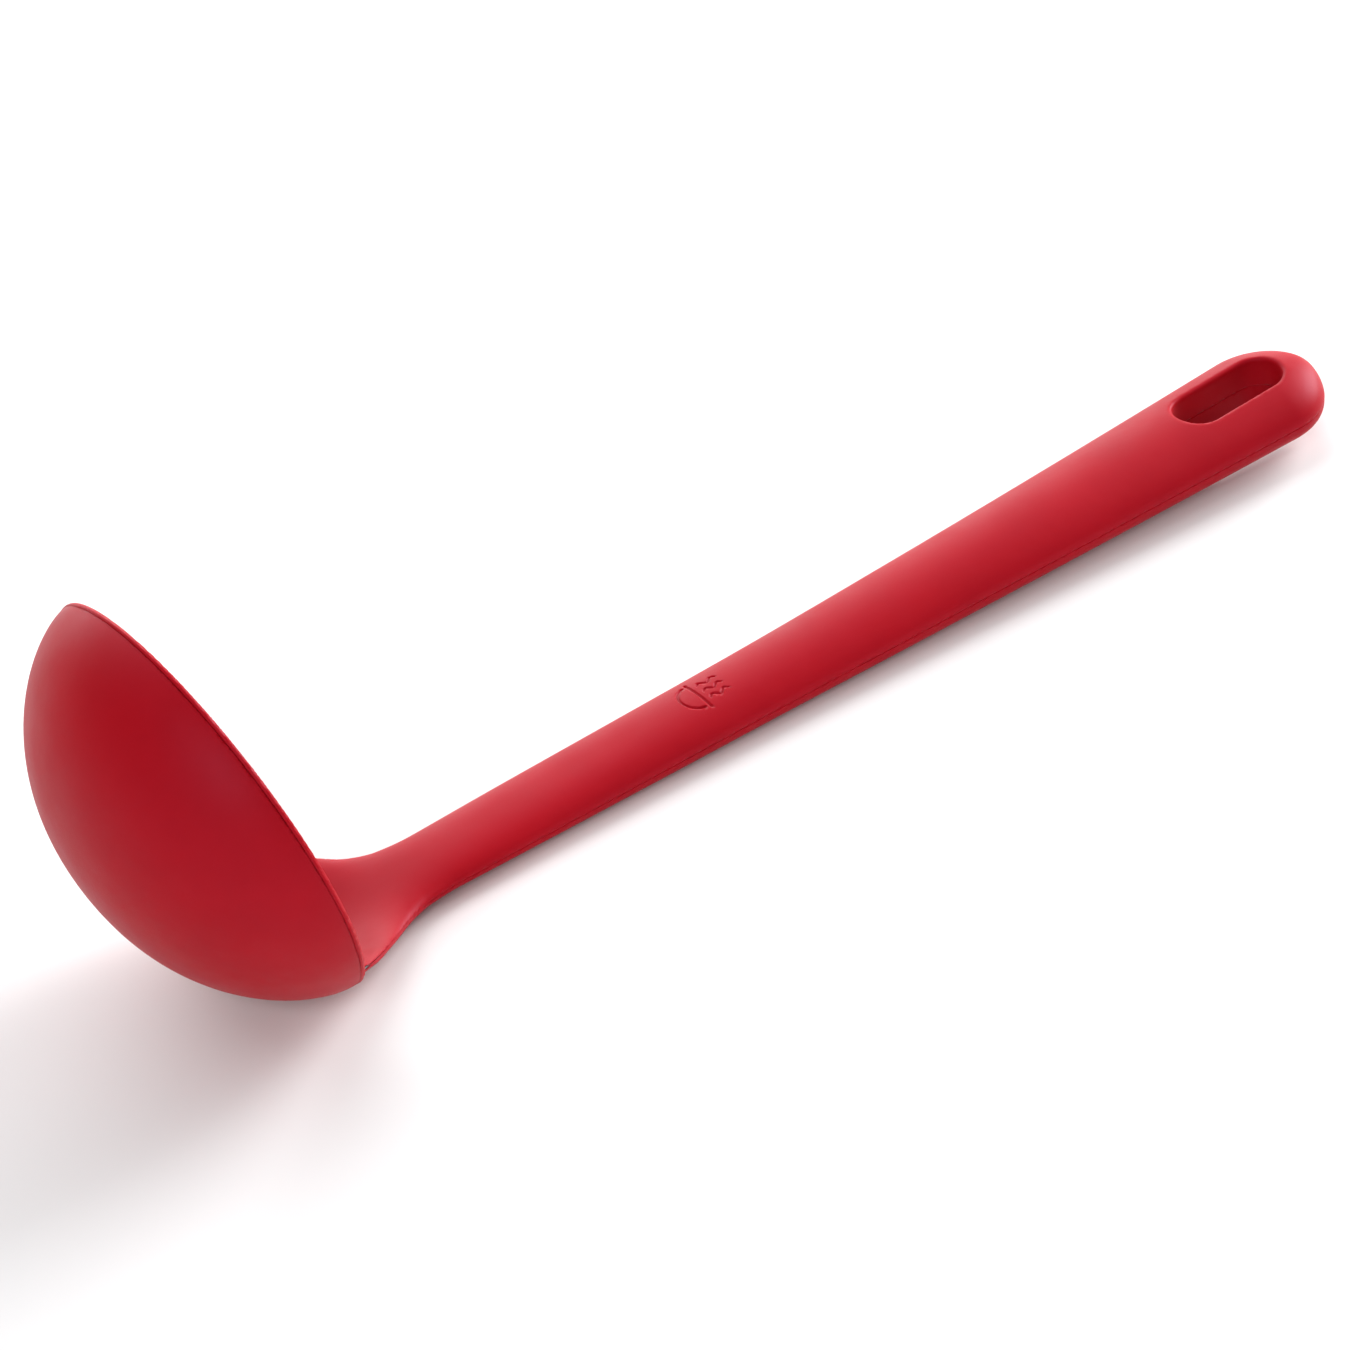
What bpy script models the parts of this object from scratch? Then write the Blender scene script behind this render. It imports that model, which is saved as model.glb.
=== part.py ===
"""Soup ladle: a stiff nylon core covered with silicone in two halves.

The ladle is modelled upright, with the plane of the rim at z = 0, the bowl below it, and the handle
rising from the rim at +X. The empty that carries the pieces then lays it on its back, as it lies on a
table: it rests on the side of the bowl and on the back of the handle's end, with the handle along +X.
Units are metres, +Z is up.
"""

import math

import bmesh
import bpy
from mathutils import Matrix, Vector

MM = 0.001

# Bowl. The outside is a superellipse turned about the bowl's axis.
RIM_RADIUS = 46.0 * MM
BOWL_DEPTH = 30.6 * MM
BOWL_SIDE_POWER = 2.15
BOWL_BASE_POWER = 1.58
BOWL_SKIN = 0.8 * MM
BOWL_CORE = 1.2 * MM
LIP_HEIGHT = 1.2 * MM
LIP_ROUND = 0.8 * MM
LIP_RISE = 0.2 * MM
LIP_TURNS = [math.radians(turn) for turn in (30, 60, 90)]

# Handle, measured along its axis from where the axis crosses the plane of the rim. It bows back by
# HANDLE_BOW half way along, and its neck follows the rim's curve over WRAPPED_SHARE of the neck's length.
HANDLE_LENGTH = 267.0 * MM
HANDLE_LEAN = math.radians(11.8)
HANDLE_BOW = 1.5 * MM
AXIS_INSIDE_RIM = 3.8 * MM
NECK_LENGTH = 33.0 * MM
WRAPPED_SHARE = 0.3
END_ROUND = 14.6 * MM
END_BLUNTNESS = 0.3
END_CAP_TURN = math.radians(84.0)
BODY_END = HANDLE_LENGTH - END_ROUND

# Half widths of the flare at the neck, against the distance along the axis.
FLARE = (
    (0.0, 35.0 * MM),
    (5.8 * MM, 27.5 * MM),
    (12.5 * MM, 20.5 * MM),
    (21.0 * MM, 12.6 * MM),
    (NECK_LENGTH, 9.5 * MM),
)
MIDDLE_AT = 105.0 * MM
MIDDLE_HALF_WIDTH = 10.0 * MM
GRIP_AT = 158.0 * MM
GRIP_HALF_WIDTH = 11.4 * MM
END_HALF_WIDTH = 14.8 * MM

# Half thicknesses in front of and behind the parting plane.
WAIST_AT = 21.0 * MM
WAIST_FRONT = 1.7 * MM
WAIST_BACK = 2.9 * MM
STEM_AT = 57.5 * MM
STEM_FRONT = 4.3 * MM
STEM_BACK = 3.9 * MM
END_FRONT = 6.8 * MM
END_BACK = 6.5 * MM
SMALLEST_HALF = 0.2 * MM

# Superellipse powers of the section in front of and behind the parting plane.
FRONT_POWER = 2.45
BACK_POWER = 2.4

# Hanging slot through the handle's end.
SLOT_CENTRE_FROM_END = 22.4 * MM
SLOT_LENGTH = 27.8 * MM
SLOT_WIDTH = 11.9 * MM
SLOT_LINING = 1.8 * MM

# Silicone round the handle's core, and the holes in the core that it fills.
HANDLE_SKIN = 1.6 * MM
SIDE_SKIN = 2.0 * MM
BOND_HOLE_RADIUS = 2.2 * MM
HANDLE_BOND_HOLES = 4
HANDLE_BOND_FIRST = 42.0 * MM
HANDLE_BOND_SPACING = 42.0 * MM
BOWL_BOND_HOLES = 6
BOWL_BOND_AT = math.radians(52.0)

# Clearance between pieces that touch.
GAP = 0.3 * MM

# The root of the neck is sunk in the bowl's wall: thinner than the wall, and starting below the core's rim.
BOWL_WALL = 2 * BOWL_SKIN + 2 * GAP + BOWL_CORE
ROOT_HALF_THICKNESS = BOWL_WALL / 2 - 0.1 * MM
ROOT_START = -LIP_HEIGHT - GAP - 2.0 * MM

# Fineness of the faceted surfaces.
BOWL_STEPS = 42
CURVE_STEPS = 10
CURVE_SAMPLES = 400
TANGENT_STEP = 0.001
LEAST_CURVATURE = 0.01
RING_POINTS = 24
NECK_SHARES = (0.1, 0.19, 0.29, 0.38, 0.5, 0.62, 0.8, 1.0)
BODY_RINGS = 7
END_RINGS = 6
SLOT_ARC_STEPS = 10
ROD_SIDES = 16
MERGE = 0.01 * MM

# How far the cutting shapes reach past the ladle, and past its sides.
CUTTER_REACH = 25.0 * MM
CUTTER_MARGIN = 1.0 * MM
CUTTER_STEPS = 12

AXIS = Vector((math.sin(HANDLE_LEAN), 0.0, math.cos(HANDLE_LEAN)))
FRONT = Vector((-math.cos(HANDLE_LEAN), 0.0, math.sin(HANDLE_LEAN)))
SIDE = Vector((0.0, 1.0, 0.0))
AXIS_FOOT = Vector((RIM_RADIUS - AXIS_INSIDE_RIM, 0.0, 0.0))


def clear_scene():
    for obj in list(bpy.data.objects):
        bpy.data.objects.remove(obj, do_unlink=True)


def new_collection(name):
    collection = bpy.data.collections.new(name)
    bpy.context.scene.collection.children.link(collection)
    return collection


def make_material(name, colour, roughness):
    material = bpy.data.materials.new(name)
    material.use_nodes = True
    shader = material.node_tree.nodes["Principled BSDF"]
    shader.inputs["Base Color"].default_value = (*colour, 1.0)
    shader.inputs["Roughness"].default_value = roughness
    shader.inputs["Metallic"].default_value = 0.0
    return material


def smooth_through(points, at):
    """Monotone cubic through (position, value) points; flat beyond the first and the last."""
    if at <= points[0][0]:
        return points[0][1]
    if at >= points[-1][0]:
        return points[-1][1]
    steps = [b[0] - a[0] for a, b in zip(points, points[1:])]
    slopes = [(b[1] - a[1]) / step for a, b, step in zip(points, points[1:], steps)]
    tangents = [slopes[0]]
    for before, after in zip(slopes, slopes[1:]):
        same_way = before * after > 0
        tangents.append(2 * before * after / (before + after) if same_way else 0.0)
    tangents.append(slopes[-1])
    i = max(k for k in range(len(steps)) if points[k][0] <= at)
    t = (at - points[i][0]) / steps[i]
    value = (2 * t**3 - 3 * t**2 + 1) * points[i][1]
    value += (t**3 - 2 * t**2 + t) * steps[i] * tangents[i]
    value += (3 * t**2 - 2 * t**3) * points[i + 1][1]
    value += (t**3 - t**2) * steps[i] * tangents[i + 1]
    return value


# ---------------------------------------------------------------- bowl


def bowl_point(angle, inset):
    """(radius, height) on the bowl, at this distance inside its outer surface."""
    radius = RIM_RADIUS * math.cos(angle) ** (2 / BOWL_SIDE_POWER)
    height = -BOWL_DEPTH * math.sin(angle) ** (2 / BOWL_BASE_POWER)
    low = min(angle + TANGENT_STEP, math.pi / 2)
    high = max(angle - TANGENT_STEP, 0.0)
    across = math.cos(low) ** (2 / BOWL_SIDE_POWER) - math.cos(high) ** (2 / BOWL_SIDE_POWER)
    down = math.sin(low) ** (2 / BOWL_BASE_POWER) - math.sin(high) ** (2 / BOWL_BASE_POWER)
    tangent = Vector((RIM_RADIUS * across, -BOWL_DEPTH * down)).normalized()
    return radius + inset * tangent.y, height - inset * tangent.x


def bowl_curve(inset, top):
    """Points from the height called top, down the wall, to the bowl's axis."""
    points = []
    for i in range(1, CURVE_STEPS):
        radius, height = bowl_point(math.pi / 2 * i / CURVE_STEPS, inset)
        if height < top - MM and radius > MM:
            points.append((radius, height))
    lowest = bowl_point(math.pi / 2, inset)[1]
    return [(wall_radius(inset, top), top)] + points + [(0.0, lowest)]


def wall_radius(inset, height):
    """Radius of the bowl's wall at this height, at this distance inside its outer surface."""
    if height >= 0:
        return RIM_RADIUS - inset
    low, high = 0.0, math.pi / 2
    for _ in range(40):
        middle = (low + high) / 2
        if bowl_point(middle, inset)[1] > height:
            low = middle
        else:
            high = middle
    return bowl_point(low, inset)[0]


def turned(name, profile, collection):
    """A closed profile, open only along the axis, turned about Z."""
    mesh = bpy.data.meshes.new(name)
    points = [(radius, 0.0, height) for radius, height in profile]
    mesh.from_pydata(points, [(i, i + 1) for i in range(len(points) - 1)], [])
    obj = bpy.data.objects.new(name, mesh)
    collection.objects.link(obj)
    screw = obj.modifiers.new("turn", "SCREW")
    screw.steps = BOWL_STEPS
    screw.render_steps = BOWL_STEPS
    screw.use_merge_vertices = True
    screw.merge_threshold = MERGE
    return obj


def full_bowl(collection):
    """The bowl's whole wall, with a rounded lip."""
    start = LIP_RISE - LIP_ROUND
    inner = bowl_curve(BOWL_WALL, start)[::-1]
    outer = bowl_curve(0.0, start)
    inside = inner[-1][0] + LIP_ROUND
    outside = outer[0][0] - LIP_ROUND
    rise = [(LIP_ROUND * math.cos(turn), start + LIP_ROUND * math.sin(turn)) for turn in LIP_TURNS]
    lip = [(inside - away, height) for away, height in rise]
    lip += [(outside + away, height) for away, height in reversed(rise)]
    return turned("full_bowl", inner + lip + outer, collection)


def core_bowl(name, grow, collection):
    """The core's wall in the bowl, made thicker all round by this much."""
    top = -LIP_HEIGHT - GAP + grow
    inner = bowl_curve(BOWL_SKIN + GAP + BOWL_CORE + grow, top)[::-1]
    outer = bowl_curve(BOWL_SKIN + GAP - grow, top)
    return turned(name, inner + outer, collection)


# ---------------------------------------------------------------- handle


def half_width(along):
    grip = ((MIDDLE_AT, MIDDLE_HALF_WIDTH), (GRIP_AT, GRIP_HALF_WIDTH), (BODY_END, END_HALF_WIDTH))
    return smooth_through(FLARE + grip, along)


def half_thickness(along, waist, stem, end):
    stations = (
        (0.0, ROOT_HALF_THICKNESS),
        (WAIST_AT, waist),
        (STEM_AT, stem),
        (BODY_END, end),
    )
    return smooth_through(stations, along)


def centre_offset(along):
    """How far the middle of the section lies in front of the handle's axis."""
    offset = 0.0
    for _ in range(4):
        height = min(along, 0.0) * AXIS.z + offset * FRONT.z
        reach = wall_radius(BOWL_WALL / 2, height) - AXIS_FOOT.x - min(along, 0.0) * AXIS.x
        offset = reach / FRONT.x
    share = max(along, 0.0) / HANDLE_LENGTH
    bow = -4 * HANDLE_BOW * share * (1 - share)
    return offset * max(0.0, 1 - max(along, 0.0) / NECK_LENGTH) ** 2 + bow


def bend(along):
    """Curvature across the section: the rim's at the root, and none past the neck."""
    middle_of_wall = RIM_RADIUS - BOWL_WALL / 2
    fade = min(max((along / NECK_LENGTH - WRAPPED_SHARE) / (1 - WRAPPED_SHARE), 0.0), 1.0)
    return (1 - fade**2 * (3 - 2 * fade)) / middle_of_wall


def place(along, across, forward):
    """A point of the section at this distance along the handle."""
    curvature = bend(along)
    if curvature > LEAST_CURVATURE:
        radius = 1 / curvature
        turn = across * curvature
        across = (radius - forward) * math.sin(turn)
        forward = radius - (radius - forward) * math.cos(turn)
    forward += centre_offset(along)
    return AXIS_FOOT + along * AXIS + across * SIDE + forward * FRONT


def stations():
    """Distances along the handle at which it has a section, root to tip, with how far each shrinks."""
    straight = [ROOT_START, -LIP_HEIGHT, 0.0]
    straight += [NECK_LENGTH * share for share in NECK_SHARES]
    body = BODY_END - NECK_LENGTH
    straight += [NECK_LENGTH + body * (i + 1) / BODY_RINGS for i in range(BODY_RINGS)]
    found = [(along, 1.0, 1.0) for along in straight]
    for i in range(1, END_RINGS + 1):
        turn = END_CAP_TURN * i / END_RINGS
        shrink = math.cos(turn)
        found.append((BODY_END + END_ROUND * math.sin(turn), shrink, shrink ** (2 * END_BLUNTNESS)))
    return found


def skin_at(along):
    """Depth of the core below the handle's surface."""
    return smooth_through(((0.0, BOWL_SKIN + GAP), (NECK_LENGTH, HANDLE_SKIN + GAP)), along)


def ring(along, narrow, thin, inset_side, inset_face):
    """One superellipse section, drawn in from the outside by the insets."""
    width = max(half_width(along) * narrow - inset_side, SMALLEST_HALF)
    front = half_thickness(along, WAIST_FRONT, STEM_FRONT, END_FRONT) * thin - inset_face
    back = half_thickness(along, WAIST_BACK, STEM_BACK, END_BACK) * thin - inset_face
    points = []
    for i in range(RING_POINTS):
        turn = 2 * math.pi * (i + 0.5) / RING_POINTS
        power = FRONT_POWER if math.sin(turn) > 0 else BACK_POWER
        across = math.copysign(abs(math.cos(turn)) ** (2 / power), math.cos(turn))
        forward = math.copysign(abs(math.sin(turn)) ** (2 / power), math.sin(turn))
        depth = front if forward > 0 else back
        points.append(place(along, width * across, max(depth, SMALLEST_HALF) * forward))
    return points


def loft(name, rings, collection):
    """A closed solid through the rings, with a flat cap at each end."""
    model = bmesh.new()
    rows = [[model.verts.new(point) for point in points] for points in rings]
    count = len(rows[0])
    for low, high in zip(rows, rows[1:]):
        for i in range(count):
            j = (i + 1) % count
            model.faces.new((low[i], low[j], high[j], high[i]))
    model.faces.new(rows[0])
    model.faces.new(rows[-1])
    bmesh.ops.recalc_face_normals(model, faces=model.faces)
    mesh = bpy.data.meshes.new(name)
    model.to_mesh(mesh)
    model.free()
    obj = bpy.data.objects.new(name, mesh)
    collection.objects.link(obj)
    return obj


def full_handle(collection):
    rings = [ring(along, narrow, thin, 0.0, 0.0) for along, narrow, thin in stations()]
    return loft("full_handle", rings, collection)


def core_handle(name, grow, collection):
    """The core's neck and spine, made larger all round by this much."""
    inset_side = SIDE_SKIN + GAP - grow
    rings = []
    for along, narrow, thin in stations():
        share_of_end = max(along - BODY_END, 0.0) / END_ROUND
        inset_face = skin_at(along) - grow
        near = along - share_of_end * inset_side
        rings.append(ring(near, narrow, thin, inset_side * narrow, inset_face * thin))
    return loft(name, rings, collection)


def back_side(name, clearance, collection):
    """All that lies behind the parting surface, which this clearance moves towards the front."""
    top = -LIP_HEIGHT + clearance
    inner = bowl_curve(BOWL_WALL / 2 + clearance, top)[::-1]
    outer = bowl_curve(-CUTTER_REACH / 4, top)
    around_bowl = turned(name, inner + outer, collection)
    rings = []
    reach = [along for along, _, _ in stations()] + [HANDLE_LENGTH + CUTTER_REACH]
    for along in reach:
        edge = half_width(along) + CUTTER_MARGIN
        sides = [edge * (2 * i / CUTTER_STEPS - 1) for i in range(CUTTER_STEPS + 1)]
        near = [place(along, side, clearance) for side in sides]
        far = [place(along, side, -CUTTER_REACH) for side in reversed(sides)]
        rings.append(near + far)
    behind_handle = loft(name + "_handle", rings, collection)
    boolean(around_bowl, behind_handle, "UNION")
    return around_bowl


# ---------------------------------------------------------------- slot and bond holes


def upright_frame(along):
    """Matrix that stands a shape's Z axis on the handle's axis, pointing out of its front."""
    axes = Matrix((AXIS, SIDE, AXIS.cross(SIDE))).transposed()
    return Matrix.Translation(AXIS_FOOT + along * AXIS) @ axes.to_4x4()


def slot_block(name, grow, collection):
    """The slot's outline, a rectangle with half-round ends, as a block through the handle."""
    radius = SLOT_WIDTH / 2 + grow
    half = SLOT_LENGTH / 2 - SLOT_WIDTH / 2
    outline = []
    for end in (1, -1):
        for i in range(SLOT_ARC_STEPS + 1):
            turn = math.pi * (i / SLOT_ARC_STEPS - 0.5)
            outline.append((end * (half + radius * math.cos(turn)), end * radius * math.sin(turn)))
    frame = upright_frame(HANDLE_LENGTH - SLOT_CENTRE_FROM_END)
    rings = [[frame @ Vector((x, y, z)) for x, y in outline] for z in (-CUTTER_REACH, CUTTER_REACH)]
    return loft(name, rings, collection)


def bond_rods(name, radius, collection):
    """Rods through the core: down the middle of the handle, and round the bowl."""
    model = bmesh.new()
    places = []
    for i in range(HANDLE_BOND_HOLES):
        places.append(upright_frame(HANDLE_BOND_FIRST + i * HANDLE_BOND_SPACING))
    wall = bowl_point(BOWL_BOND_AT, BOWL_WALL / 2)
    outside = bowl_point(BOWL_BOND_AT, 0.0)
    outward = Vector((outside[0] - wall[0], 0.0, outside[1] - wall[1])).normalized()
    for i in range(BOWL_BOND_HOLES):
        round_axis = Matrix.Rotation(2 * math.pi * (i + 0.5) / BOWL_BOND_HOLES, 4, "Z")
        tilt = outward.to_track_quat("Z", "Y").to_matrix().to_4x4()
        places.append(round_axis @ Matrix.Translation((wall[0], 0.0, wall[1])) @ tilt)
    lengths = [CUTTER_REACH] * HANDLE_BOND_HOLES + [2 * BOWL_CORE + 2 * GAP] * BOWL_BOND_HOLES
    for frame, length in zip(places, lengths):
        sizes = {"radius1": radius, "radius2": radius, "depth": length}
        bmesh.ops.create_cone(model, cap_ends=True, segments=ROD_SIDES, matrix=frame, **sizes)
    mesh = bpy.data.meshes.new(name)
    model.to_mesh(mesh)
    model.free()
    obj = bpy.data.objects.new(name, mesh)
    collection.objects.link(obj)
    return obj


def boolean(target, other, operation):
    modifier = target.modifiers.new(operation.lower(), "BOOLEAN")
    modifier.operation = operation
    modifier.object = other
    modifier.solver = "EXACT"


def core_form(name, grow, cutters):
    """The core, or with some growth the space that it takes up in the silicone."""
    form = core_bowl(name, grow, cutters)
    boolean(form, core_handle(name + "_handle", grow, cutters), "UNION")
    boolean(form, slot_block(name + "_slot", SLOT_LINING + GAP - grow, cutters), "DIFFERENCE")
    boolean(form, bond_rods(name + "_rods", BOND_HOLE_RADIUS - grow, cutters), "DIFFERENCE")
    return form


# ---------------------------------------------------------------- pieces


def silicone(name, half, material, parts, cutters):
    """One half of the silicone: what the whole ladle has on that side, less the core and the slot."""
    piece = full_bowl(parts)
    piece.name = name
    piece.data.name = name
    boolean(piece, full_handle(cutters), "UNION")
    if half == "front":
        boolean(piece, back_side(name + "_other_side", GAP / 2, cutters), "DIFFERENCE")
    else:
        boolean(piece, back_side(name + "_own_side", -GAP / 2, cutters), "INTERSECT")
    boolean(piece, core_form(name + "_core_space", GAP, cutters), "DIFFERENCE")
    boolean(piece, slot_block(name + "_slot", 0.0, cutters), "DIFFERENCE")
    piece.data.materials.append(material)
    return piece


def bowl_outline():
    """Points (radius, height) down the outside of the bowl."""
    return [bowl_point(math.pi / 2 * i / CURVE_SAMPLES, 0.0) for i in range(CURVE_SAMPLES + 1)]


def lowest(turn, points):
    return min(-x * math.sin(turn) + z * math.cos(turn) for x, z in points)


def lying_turn():
    """The turn about Y at which the side of the bowl and the back of the handle's end rest level."""
    bowl = bowl_outline()
    handle = []
    for along, _, thin in stations():
        back = half_thickness(along, WAIST_BACK, STEM_BACK, END_BACK) * thin
        point = place(along, 0.0, -back)
        handle.append((point.x, point.z))
    low, high = math.radians(60.0), math.radians(120.0)
    for _ in range(50):
        middle = (low + high) / 2
        if lowest(middle, handle) > lowest(middle, bowl):
            low = middle
        else:
            high = middle
    return low, min(lowest(low, bowl), lowest(low, handle))


def finish_mesh(obj):
    """Bakes the modifiers and shades the piece smooth with sharp edges kept."""
    graph = bpy.context.evaluated_depsgraph_get()
    mesh = bpy.data.meshes.new_from_object(obj.evaluated_get(graph))
    obj.modifiers.clear()
    obj.data = mesh
    mesh.name = obj.name
    mesh.shade_smooth()
    mesh.set_sharp_from_angle(angle=math.radians(35.0))


def main():
    clear_scene()
    parts = new_collection("soup_ladle")
    cutters = new_collection("soup_ladle_cutters")
    red = make_material("red_silicone", (0.52, 0.012, 0.03), 0.45)
    grey = make_material("nylon", (0.12, 0.12, 0.13), 0.5)

    front = silicone("silicone_front", "front", red, parts, cutters)
    back = silicone("silicone_back", "back", red, parts, cutters)
    core = core_form("nylon_core", 0.0, cutters)
    cutters.objects.unlink(core)
    parts.objects.link(core)
    core.data.materials.append(grey)

    for obj in cutters.objects:
        obj.hide_render = True
        obj.display_type = "WIRE"
    bpy.context.view_layer.update()
    for piece in (front, back, core):
        finish_mesh(piece)

    turn, rest_height = lying_turn()
    carrier = bpy.data.objects.new("ladle_lying", None)
    parts.objects.link(carrier)
    carrier.rotation_euler = (0.0, turn, 0.0)
    outline = bowl_outline()
    bowl_end = min(height * math.sin(turn) - abs(radius * math.cos(turn)) for radius, height in outline)
    tip = Matrix.Rotation(turn, 3, "Y") @ (AXIS_FOOT + HANDLE_LENGTH * AXIS)
    carrier.location = (-(bowl_end + tip.x) / 2, 0.0, -rest_height)
    for piece in (front, back, core):
        piece.parent = carrier


main()
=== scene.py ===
"""Looks of the soup ladle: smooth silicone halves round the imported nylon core, on a pale floor.

The silicone is shaped upright, in millimetres, with the plane of the rim at z = 0, the bowl below
it and the handle rising at +X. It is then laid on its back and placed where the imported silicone
nodes are.
"""

import math

import bmesh
import bpy
import numpy as np
from mathutils import Matrix, Vector


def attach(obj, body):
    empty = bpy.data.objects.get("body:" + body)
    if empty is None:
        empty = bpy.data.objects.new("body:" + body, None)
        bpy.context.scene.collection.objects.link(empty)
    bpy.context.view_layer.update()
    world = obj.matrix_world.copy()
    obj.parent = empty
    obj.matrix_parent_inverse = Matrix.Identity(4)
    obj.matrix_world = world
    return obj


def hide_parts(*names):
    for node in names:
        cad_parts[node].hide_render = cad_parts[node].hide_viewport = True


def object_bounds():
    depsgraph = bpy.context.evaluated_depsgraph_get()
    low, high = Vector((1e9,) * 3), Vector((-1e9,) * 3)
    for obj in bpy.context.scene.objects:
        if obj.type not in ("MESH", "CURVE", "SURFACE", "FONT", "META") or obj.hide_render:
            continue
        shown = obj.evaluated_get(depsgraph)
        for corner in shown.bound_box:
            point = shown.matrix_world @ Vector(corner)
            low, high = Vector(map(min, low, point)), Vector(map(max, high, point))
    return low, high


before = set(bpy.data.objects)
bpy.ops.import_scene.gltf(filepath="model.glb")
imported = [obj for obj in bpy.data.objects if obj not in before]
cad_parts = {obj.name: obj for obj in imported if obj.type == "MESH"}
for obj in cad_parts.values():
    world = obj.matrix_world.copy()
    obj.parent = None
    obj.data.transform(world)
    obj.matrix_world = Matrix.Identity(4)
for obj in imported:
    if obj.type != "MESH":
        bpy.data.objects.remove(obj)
cad_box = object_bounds()

# ---------------------------------------------------------------- sizes, in millimetres

# Bowl: the outside is a superellipse turned about the bowl's axis.
RIM_RADIUS = 46.0
BOWL_DEPTH = 30.6
BOWL_SIDE_POWER = 2.15
BOWL_BASE_POWER = 1.58
BOWL_WALL = 3.4
LIP_TOP = 0.2
LIP_OUTER_ROUND = 0.45
LIP_INNER_ROUND = 0.9

# Handle, along its axis from where the axis crosses the plane of the rim.
HANDLE_LENGTH = 267.0
HANDLE_LEAN = math.radians(11.8)
HANDLE_BOW = 1.5
AXIS_INSIDE_RIM = 3.8
NECK_LENGTH = 33.0
WRAPPED_SHARE = 0.3
END_ROUND = 14.6
END_BLUNTNESS = 0.3
BODY_END = HANDLE_LENGTH - END_ROUND
FRONT_POWERS = ((0.0, 2.3), (20.0, 2.2), (60.0, 2.4), (130.0, 2.12), (BODY_END, 2.0))
BACK_POWERS = ((0.0, 3.2), (20.0, 2.4), (60.0, 2.4))
HALF_WIDTHS = (
    (-3.0, 33.4),
    (0.0, 31.6),
    (5.8, 26.8),
    (12.5, 20.3),
    (17.0, 15.9),
    (21.5, 12.6),
    (27.0, 10.4),
    (35.0, 9.5),
    (105.0, 10.0),
    (158.0, 11.4),
    (BODY_END, 14.8),
)
FRONT_THICKNESSES = (
    (0.0, 1.65),
    (9.0, 1.9),
    (21.0, 2.6),
    (57.5, 4.4),
    (158.0, 6.5),
    (BODY_END, 7.7),
)
BACK_THICKNESSES = ((0.0, 1.65), (21.0, 2.9), (57.5, 3.9), (BODY_END, 6.5))

# Where the neck meets the bowl.
CORNER_FILLET = 0.9
ROOT_FADE = 0.3
WALL_TO_NECK = (0.0, 7.0)

# Hanging slot.
SLOT_CENTRE_FROM_END = 22.4
SLOT_LENGTH = 27.8
SLOT_WIDTH = 11.9
SLOT_EDGE_ROUND = 1.0

# Debossed motif on the front of the handle.
MOTIF_AT = 101.5
MOTIF_ROD = 0.34
MOTIF_DEEP = 0.3
MOTIF_BOWL_TOP = 1.2
MOTIF_BOWL_DEPTH = 3.1
MOTIF_BOWL_HALF = 4.2
MOTIF_RIM_AT = 0.2
MOTIF_RIM_HALF = 4.9
STEAM_FROM = 1.3
STEAM_LENGTH = 4.4
STEAM_PLACES = (-2.5, 0.0, 2.5)
STEAM_WAVE = 0.55
STEAM_HALF_WAVES = 3
ROD_SIDES = 12
ROD_TIP = 0.3
CURVED_POINTS = 30
STRAIGHT_POINTS = 20

# Line where the two halves meet: the back half's surface is a little lower beside it.
SPLIT_UNDER_RIM = 0.9
SPLIT_GAP = 0.16
SPLIT_ON_BOWL_BELOW = 0.5
BACK_STEP = 0.13
STEP_FADE = 1.5

# Placing.
MM = 0.001
LYING_TURN = math.radians(76.9846)
CORE_CLEARANCE = 0.2

# ---------------------------------------------------------------- accuracy of the mesh

CURVE_TOP = 20.0
CURVE_POINTS = 900
TABLE_STEP = 0.25
TABLE_RADII = np.arange(-2.0, 66.0, TABLE_STEP)
TABLE_HEIGHTS = np.arange(-42.0, 14.0, TABLE_STEP)
TABLE_EDGE = 1.001  # keeps a look-up inside the table
SAMPLES_FROM = -10.0
SAMPLES = 1200

# Floors that keep divisions and powers finite.
LEAST_BEND = 1e-5
LEAST_SIDE = 1e-6
LEAST_LEFT = 0.03
LEAST_STEEPNESS = 0.02
LEAST_SLOPE = 0.05

# The grid, and the zones of it where the surface is worked out.
SLOT_ZONE = 40.0
GRID = 0.6
GRID_LOW = (-48.0, -48.0, -33.0)
GRID_SPAN = (152, 96, 304)
FAR_OUTSIDE = 9.0
BOWL_ZONE_TOP = 30.0
HANDLE_ZONE_DEPTH = 13.0
HANDLE_ZONE_HALF_WIDTH = 18.0

# Moving the grid's points onto the surface.
SLOPE_STEP = 0.02
MOST_PULL = 0.5
RELAX_SHARE = 0.6
RELAX_ROUNDS = 4
SHARP_ANGLE = math.radians(40.0)
MOST_SHELL_FACTOR = 2.0
CORE_WELD = 2e-6  # in metres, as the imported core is

# Solid that parts the two halves.
CUTTER_REACH = 8.0
CUTTER_TURNS = 240
CUTTER_CURVE = 90
CUTTER_FIRST_DROP = 0.3
CUTTER_BEHIND = -14.0
CUTTER_BESIDE = 1.5
CUTTER_ACROSS = 61
CUTTER_FROM = -3.6
CUTTER_PAST_END = 12
CUTTER_PAST_NECK = 3
CUTTER_NECK_RINGS = 50
CUTTER_HANDLE_RINGS = 60

# ---------------------------------------------------------------- looks

SILICONE_REDS = ((0.37, 0.003, 0.0085), (0.41, 0.0038, 0.0098))
SILICONE_ROUGHNESS = (0.44, 0.52)
NYLON_GREYS = ((0.10, 0.10, 0.11), (0.15, 0.15, 0.16))
NYLON_ROUGHNESS = (0.42, 0.6)
FLOOR_TONES = ((0.84, 0.84, 0.845), (0.86, 0.86, 0.865))
FLOOR_HALF = 4.0
NOISE_LOW = 0.3
NOISE_HIGH = 0.7

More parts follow.
